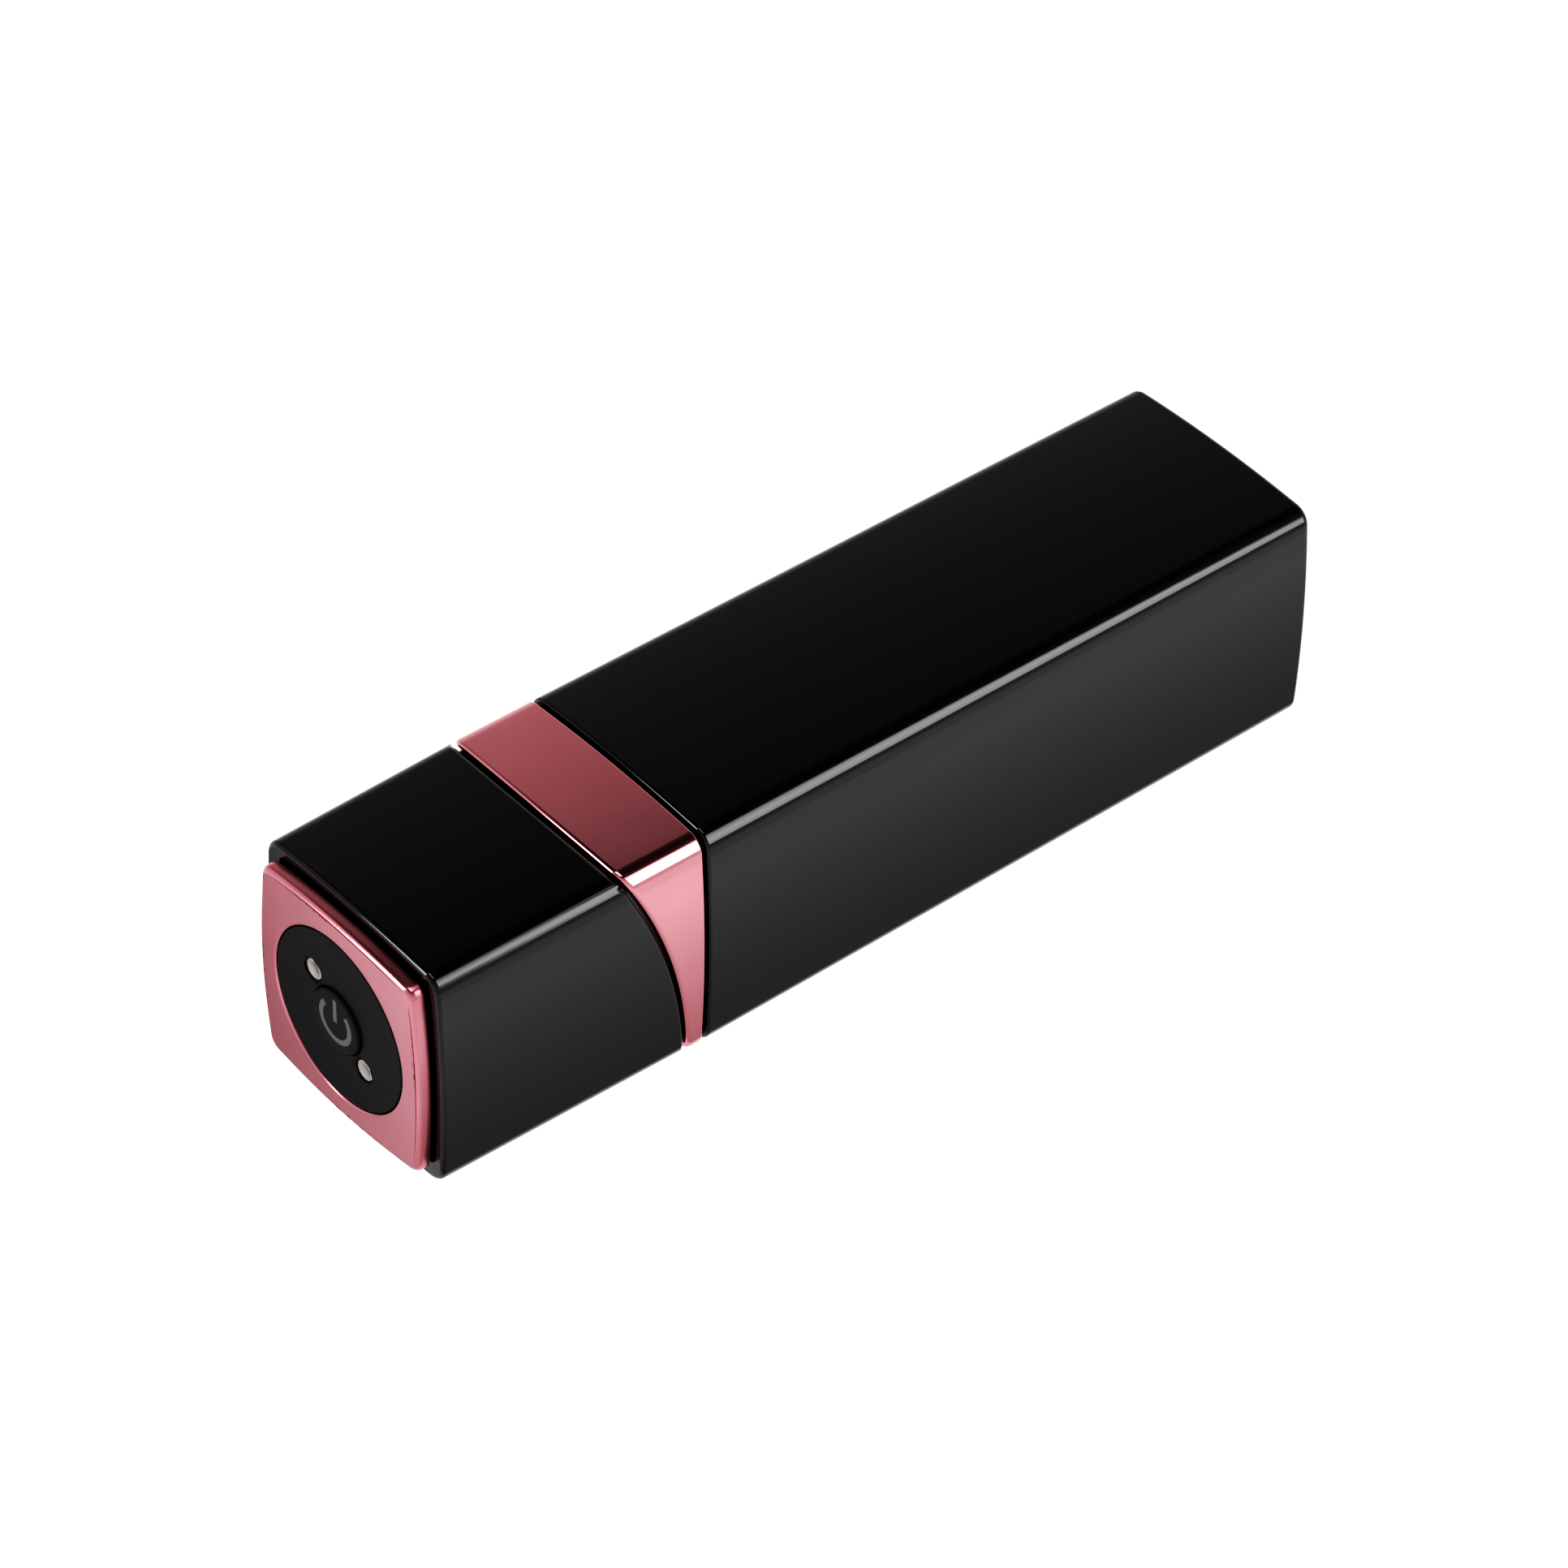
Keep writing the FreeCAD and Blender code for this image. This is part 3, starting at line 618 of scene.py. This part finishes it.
# Cap stop ring. A square black ring in front of the collar that the cap's mouth stops against. Closed, it
# shows only as the dark line between collar and cap.
stop_half, stop_gap, stop_edge, stop_skin = 10.1, 0.06, 0.08, 9.2
stop_end = cap_start - stop_gap
stop_ring = new_piece("stop_ring")
square_ring(collar_end, stop_half, case_corner)
square_ring(stop_end, stop_half, case_corner)
square_ring(stop_end, sleeve_bore, sleeve_bore_corner)
square_ring(collar_end, sleeve_bore, sleeve_bore_corner)
skin_round(4)
outward()
round_edges(stop_edge, 2, lambda p: p.x > stop_end - NEAR and outer(p, stop_skin))
finish_piece(stop_ring, matte_black, "black_matte", "root", "cap_stop_ring")

# Neck. A drawn aluminium square tube, anodised black with a fine lengthwise grain, ties base and collar
# together and stands out as the neck that the cap slides over.
neck_start, neck_end = (from_axis(Vector(corner)).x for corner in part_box("inner_sleeve"))
neck_half, neck_wall, neck_corner, neck_bore_corner = 8.25, 0.5, 1.1, 0.7
neck = new_piece("neck_tube")
square_ring(neck_start, neck_half, neck_corner)
square_ring(neck_end, neck_half, neck_corner)
square_ring(neck_end, neck_half - neck_wall, neck_bore_corner)
square_ring(neck_start, neck_half - neck_wall, neck_bore_corner)
skin_round(4)
outward()
anodised = Finish("black_anodised_aluminium", Base_Color=(0.02, 0.02, 0.022, 1), Metallic=1.0, Roughness=0.34)
drawn = anodised.noise(1.0, 4.0, stretch=(0.25, 16, 16))
scuffs = anodised.noise(0.8, 5.0) > 0.66
anodised.feed("Base Color", anodised.blend(drawn, (0.035, 0.035, 0.038, 1), (0.09, 0.09, 0.095, 1)))
anodised.feed("Roughness", 0.24 + 0.16 * drawn + 0.08 * scuffs)
anodised.relief(drawn, 0.004)
finish_piece(neck, anodised, "anodised_black", "root", "inner_sleeve")

# Neck washer. A plated square plate with a round hole that closes the neck around the soft head.
washer_end = from_axis(Vector(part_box("neck_ring")[1])).x
head_hole, washer_edge = 7.65, 0.3
washer = new_piece("neck_washer")
square_ring(neck_end, neck_half, neck_corner)
square_ring(washer_end, neck_half, neck_corner)
round_ring(washer_end, head_hole)
round_ring(neck_end, head_hole)
skin_round(4)
outward()
round_edges(washer_edge, 4, lambda p: p.x > washer_end - NEAR and outer(p, neck_half - 5 * NEAR))
finish_piece(washer, rose_gold, "rose_gold", "root", "neck_ring")


def lathe(name, x, radius, *moves, y=0.0, z=0.0):
    """A round piece: a profile drawn by extruding one point along moves of (x, radius) and spun a full
    turn. A profile that starts off the axis is a ring's, so its last point is joined to its first."""
    piece = new_piece(name)
    new_point(at(x, y, z + radius))
    for along, out in moves:
        bpy.ops.mesh.extrude_region_move(TRANSFORM_OT_translate={"value": (along * MM, 0, out * MM)})
    bpy.ops.mesh.select_all(action="SELECT")
    if radius > 0:
        bpy.ops.mesh.edge_face_add()
        bpy.ops.mesh.delete(type="ONLY_FACE")
        bpy.ops.mesh.select_all(action="SELECT")
    bpy.ops.mesh.spin(steps=RING, angle=2 * math.pi, center=at(x, y, z), axis=ALONG)
    settle()
    outward()
    return piece


def cut(piece, *cutters):
    """Cuts other shapes out of a piece and removes them."""
    bpy.ops.object.mode_set(mode="OBJECT")
    bpy.ops.object.select_all(action="DESELECT")
    bpy.context.view_layer.objects.active = piece
    piece.select_set(True)
    for cutter in cutters:
        saw = piece.modifiers.new("cut", "BOOLEAN")
        saw.object, saw.operation, saw.solver = cutter, "DIFFERENCE", "EXACT"
        bpy.ops.object.modifier_apply(modifier="cut")
        bpy.data.objects.remove(cutter)
    bpy.ops.object.mode_set(mode="EDIT")


def rod(x, length, radius, y=0.0, z=0.0):
    """A round bar along the case, used as a cutter."""
    bpy.ops.object.mode_set(mode="OBJECT")
    bpy.ops.mesh.primitive_cylinder_add(vertices=64, radius=radius * MM, depth=length * MM,
                                        location=at(x + length / 2, y, z), rotation=(0, math.pi / 2, 0))
    return bpy.context.object


# Button pad. A round silicone moulding behind the frame's hole, with a hole for the button and a stepped
# hole for each contact. Its rims are softly rounded.
pad_front, pad_back, pad_radius, pad_hole = -0.04, 1.50, 7.74, 2.90
contact_offset, contact_hole, contact_shoulder, stem_hole = 3.0, 0.98, 1.05, 0.55
contact_places = ((contact_offset, contact_offset), (-contact_offset, -contact_offset))
rim_edge, face_rings = 0.12, 12
face_steps = [(0, (pad_radius - pad_hole) / face_rings)] * face_rings
pad = lathe("button_pad", pad_front, pad_hole, *face_steps, (pad_back - pad_front, 0),
            (0, pad_hole - pad_radius))
cutters = []
for y, z in contact_places:
    cutters.append(rod(-1, 1 + contact_shoulder, contact_hole, y, z))
    cutters.append(rod(0, 2, stem_hole, y, z))
cut(pad, *cutters)


def near_contact(place, radius):
    return any(abs(math.hypot(place.y - y, place.z - z) - radius) < 2 * NEAR for y, z in contact_places)


def on_pad_rim(place):
    out = math.hypot(place.y, place.z)
    on_ring = min(abs(out - pad_hole), abs(out - pad_radius)) < 2 * NEAR
    return place.x < NEAR and (on_ring or near_contact(place, contact_hole))


round_edges(rim_edge, 4, on_pad_rim)


def silicone(name, colour, roughness, grain=14.0):
    """Soft-touch silicone: matte, with a fine mould grain and a trace of dust that dulls it in places."""
    finish = Finish(name, Roughness=roughness, IOR=1.41, Sheen_Weight=0.015, Sheen_Roughness=0.4)
    fine, dust = finish.noise(grain, 2.0), finish.noise(0.7, 5.0)
    lighter = [min(1.0, channel * 1.35) for channel in colour] + [1]
    finish.feed("Base Color", finish.blend(0.5 * fine + 0.5 * dust, (*colour, 1), lighter))
    finish.feed("Roughness", roughness - 0.06 + 0.12 * dust)
    finish.relief(fine, 0.0035)
    return finish


soft_black = silicone("black_silicone", (0.010, 0.010, 0.0102), 0.60)
finish_piece(pad, soft_black, "black_rubber", "root", "keypad_seal")

# Button. A round silicone button with a flange behind the pad and a stub that reaches the switch. Its
# power symbol is a grey inlay: a ring open at its top, and a short bar in the gap.
button_front, button_radius, button_edge = -0.34, 2.80, 0.2
flange_start, flange_end, flange_radius, stub_end, stub_radius = 1.56, 2.1, 3.35, 3.0, 1.2
symbol_ring, symbol_stroke, symbol_depth, symbol_steps = 1.75, 0.5, 0.15, 60
bar_width, bar_length = 0.45, 2.2


def power_symbol(name, front, depth):
    """The symbol as a solid: a section spun about the axis for three quarters of a turn, and a bar."""
    symbol = new_piece(name)
    inner_radius = symbol_ring - symbol_stroke / 2
    opening = math.pi / 4
    aside, up = math.sin(opening), math.cos(opening)
    new_point(at(front, inner_radius * aside, inner_radius * up))
    bpy.ops.mesh.extrude_region_move(TRANSFORM_OT_translate={"value": (depth * MM, 0, 0)})
    bpy.ops.mesh.select_all(action="SELECT")
    outwards = (0, symbol_stroke * aside * MM, symbol_stroke * up * MM)
    bpy.ops.mesh.extrude_region_move(TRANSFORM_OT_translate={"value": outwards})
    bpy.ops.mesh.select_all(action="SELECT")
    bpy.ops.mesh.spin(steps=symbol_steps, angle=2 * (math.pi - opening), center=at(front), axis=ALONG)
    bpy.ops.mesh.select_all(action="SELECT")
    bpy.ops.mesh.fill_holes(sides=4)
    bpy.ops.mesh.select_all(action="DESELECT")
    bpy.ops.mesh.primitive_cube_add(size=MM, location=at(front + depth / 2, 0, bar_length / 2))
    bpy.ops.transform.resize(value=(depth, bar_width, bar_length),
                             center_override=at(front + depth / 2, 0, bar_length / 2))
    outward()
    return symbol


button = lathe("power_button_top", button_front, 0.0, (0, button_radius),
               (flange_start - button_front, 0), (0, flange_radius - button_radius),
               (flange_end - flange_start, 0), (0, stub_radius - flange_radius), (stub_end - flange_end, 0),
               (0, -stub_radius))
round_edges(button_edge, 5,
            lambda p: p.x < button_front + NEAR and math.hypot(p.y, p.z) > button_radius - 5 * NEAR)
bpy.ops.object.mode_set(mode="OBJECT")
recess = power_symbol("recess", button_front - symbol_depth, 2 * symbol_depth)
cut(button, recess)
finish_piece(button, soft_black, "black_rubber", "button", "power_button")

symbol = power_symbol("power_symbol_inlay", button_front, symbol_depth)
grey_inlay = moulded("grey_inlay", (0.125, 0.125, 0.13), 0.5, 12.0, 0.002)
finish_piece(symbol, grey_inlay, "grey_print", "button", "power_symbol")

# Charging contacts. Two turned brass pins, nickel plated, that sit just below the pad's face. Each has a
# shallow turned dish, a rounded rim, a shoulder behind the pad and a stem soldered to the switch board.
contact_front, contact_radius, contact_stem, stem_end = 0.04, 0.95, 0.5, 5.0
dish_radius, dish_depth, dish_slope = 0.60, 0.03, 0.05
nickel = Finish("nickel_plating", Base_Color=(0.37, 0.345, 0.31, 1), Metallic=1.0, Roughness=0.28)
turned = nickel.noise(9.0, 3.0)
nickel.feed("Base Color", nickel.blend(turned, (0.33, 0.31, 0.28, 1), (0.41, 0.385, 0.35, 1)))
nickel.feed("Roughness", 0.24 + 0.12 * turned)
nickel.relief(turned, 0.002)
for number, (y, z) in enumerate(contact_places, 1):
    contact = lathe(f"charging_pin_{number}", contact_front + dish_depth, 0.0, (0, dish_radius),
                    (-dish_depth, dish_slope), (0, contact_radius - dish_radius - dish_slope),
                    (contact_shoulder - contact_front, 0), (0, contact_stem - contact_radius),
                    (stem_end - contact_shoulder, 0), (0, -contact_stem), y=y, z=z)
    round_edges(rim_edge, 4, lambda p: p.x < contact_front + NEAR and near_contact(p, contact_radius))
    finish_piece(contact, nickel, "nickel", "root", f"charge_contact_{number}")

# Soft head. A silicone bullet moulded over the motor's pod, cut on a slant like a lipstick, with all its
# rims softly rounded. Only pulling the cap off shows it.
head_radius, head_end, slant_top, slant_low = 7.6, 81.0, 66.5, -3.6
pod_room, pod_dome = 5.82, 64.2
skin_cell, rounding_passes = 0.3, 60
head = lathe("silicone_head", neck_end, 0.0, (0, head_radius), (head_end - neck_end, 0), (0, -head_radius))
slant_way = Vector((head_radius - slant_low, 0, head_end - slant_top)).normalized()
bpy.ops.mesh.select_all(action="SELECT")
bpy.ops.mesh.bisect(plane_co=at(slant_top, 0, head_radius), plane_no=slant_way, use_fill=True,
                    clear_outer=True)
bpy.ops.object.mode_set(mode="OBJECT")
moulding = head.modifiers.new("one skin", "REMESH")
moulding.mode, moulding.voxel_size = "VOXEL", skin_cell * MM
bpy.ops.object.modifier_apply(modifier="one skin")
rounding = head.modifiers.new("soft rims", "SMOOTH")
rounding.factor, rounding.iterations = 0.5, rounding_passes
bpy.ops.object.modifier_apply(modifier="soft rims")
pod_space = rod(neck_end - 1, pod_dome - neck_end + 1, pod_room)
bpy.ops.mesh.primitive_uv_sphere_add(segments=64, ring_count=32, radius=pod_room * MM,
                                     location=at(pod_dome))
pod_end_space = bpy.context.object
bpy.ops.object.select_all(action="DESELECT")
cut(head, pod_space, pod_end_space)
rose_silicone = silicone("rose_silicone", (0.50, 0.16, 0.20), 0.48, 10.0)
finish_piece(head, rose_silicone, "rose_silicone", "root", "soft_head")

# Pieces inside. They keep the CAD shapes and get the finish of their slot: plated steel, moulded plastic,
# a green circuit board, shrink wrap, foam, copper winding and insulated wire.


def metal(name, colour, roughness, grain, stretch=(1, 1, 1), depth=0.003):
    """Worked metal: fine tool marks, drawn out along stretch, over a slightly clouded colour."""
    finish = Finish(name, Metallic=1.0, Roughness=roughness)
    marks, cloud = finish.noise(grain, 3.0, stretch=stretch), finish.noise(0.6, 3.0)
    darker = [channel * 0.78 for channel in colour] + [1]
    finish.feed("Base Color", finish.blend(0.5 * marks + 0.5 * cloud, darker, (*colour, 1)))
    finish.feed("Roughness", roughness - 0.07 + 0.10 * marks + 0.08 * cloud)
    finish.relief(marks, depth)
    return finish


# Circuit board: green lacquer over glass cloth, with copper tracks, tinned pads and a trace of flux.
circuit_board = Finish("circuit_board", Roughness=0.35, IOR=1.5)
lanes = circuit_board.node("TexWave", {"wave_profile": "SAW"}, 1, Vector=circuit_board.place(), Scale=0.22,
                           Distortion=3.0, Detail=0.0)
tracks = (lanes > 0.45) * (lanes < 0.60) * (circuit_board.noise(0.35, 0.0) > 0.46)
pads = circuit_board.cells(0.55) < 0.16
cloth = circuit_board.node("TexChecker", output=1, Vector=circuit_board.place(), Scale=5.0)
lacquer = circuit_board.blend(tracks, (0.006, 0.10, 0.035, 1), (0.02, 0.22, 0.07, 1))
circuit_board.feed("Base Color", circuit_board.blend(pads, lacquer, (0.62, 0.60, 0.56, 1)))
circuit_board.feed("Metallic", 0.9 * pads)
circuit_board.feed("Roughness", 0.30 + 0.10 * cloth - 0.08 * pads)
circuit_board.relief(tracks.larger(pads) + 0.15 * cloth, 0.02)

# Wound copper: fine turns side by side with a lacquer sheen. Its colour holds painted shade and highlight:
# darker in the grooves between the turns and lighter on their crowns.
winding = Finish("copper_winding", Base_Color=(0.72, 0.30, 0.16, 1), Metallic=1.0, Roughness=0.25)
turns = winding.node("TexWave", {"bands_direction": "X"}, 1, Vector=winding.place(), Scale=3.2,
                     Distortion=0.4, Detail=1.0)
winding.feed("Base Color", winding.blend(turns, (0.40, 0.14, 0.07, 1), (0.80, 0.36, 0.20, 1)))
winding.feed("Roughness", 0.42 - 0.2 * turns)
winding.relief(turns, 0.03)

# Shrink wrap: thin glossy film with faint wrinkles and one light band printed round it, with no words.
shrink_wrap = Finish("blue_shrink_wrap", Roughness=0.28, Coat_Weight=0.4)
along = shrink_wrap.axis(0, shrink_wrap.place())
band_start, band_end = -16.5, -15.0
band = (along > band_start) * (along < band_end)
wrinkles = shrink_wrap.noise(0.9, 4.0, stretch=(0.4, 2, 2))
shrink_wrap.feed("Base Color", shrink_wrap.blend(band, (0.02, 0.09, 0.30, 1), (0.70, 0.72, 0.74, 1)))
shrink_wrap.feed("Roughness", 0.18 + 0.2 * wrinkles)
shrink_wrap.relief(wrinkles, 0.03)

# Foam: open cells cut across. Its colour darkens towards the middle of each cell: painted shade in the pores.
foam = Finish("black_foam", Roughness=0.95)
pores = foam.cells(5.0)
foam.feed("Base Color", foam.blend(pores, (0.004, 0.004, 0.004, 1), (0.035, 0.035, 0.037, 1)))
foam.relief(pores, 0.12)

finishes = {
    "black_gloss": piano_black,
    "black_matte": matte_black,
    "rose_gold": rose_gold,
    "rose_gold_brushed": satin_gold,
    "anodised_black": anodised,
    "black_rubber": soft_black,
    "grey_print": grey_inlay,
    "nickel": nickel,
    "rose_silicone": rose_silicone,
    "circuit_board": circuit_board,
    "copper": winding,
    "cell_wrap": shrink_wrap,
    "black_foam": foam,
    "magnet": metal("nickel_plated_magnet", (0.55, 0.54, 0.52), 0.22, 3.0),
    "screw_steel": metal("zinc_plated_steel", (0.60, 0.61, 0.63), 0.30, 6.0, (0.4, 6, 6)),
    "switch_metal": metal("tinned_steel", (0.66, 0.66, 0.65), 0.26, 8.0, (6, 0.5, 6)),
    "cell_steel": metal("nickel_plated_steel", (0.58, 0.57, 0.55), 0.24, 4.0, (5, 0.5, 0.5)),
    "bronze": metal("sintered_bronze", (0.46, 0.27, 0.11), 0.42, 12.0, depth=0.01),
    "tungsten": metal("sintered_tungsten", (0.24, 0.24, 0.25), 0.48, 14.0, depth=0.008),
    "white_plastic": moulded("white_plastic", (0.66, 0.65, 0.61), 0.45, 7.0, 0.006),
    "grey_plastic": moulded("grey_plastic", (0.16, 0.165, 0.17), 0.55, 7.0, 0.012),
    "black_epoxy": moulded("black_epoxy", (0.022, 0.022, 0.024), 0.50, 10.0, 0.006),
    "amber_film": moulded("amber_film", (0.50, 0.20, 0.03), 0.22, 3.0, 0.004, Coat_Weight=0.5),
    "red_wire": moulded("red_insulation", (0.42, 0.015, 0.012), 0.42, 5.0, 0.005),
    "black_wire": moulded("black_insulation", (0.014, 0.014, 0.015), 0.42, 5.0, 0.005),
}
for subpart in frame["record"]["subparts"]:
    node = frame["nodes"][subpart["node"]]
    node.data.materials.clear()
    node.data.materials.append(finishes[subpart["material_slot"]].material)
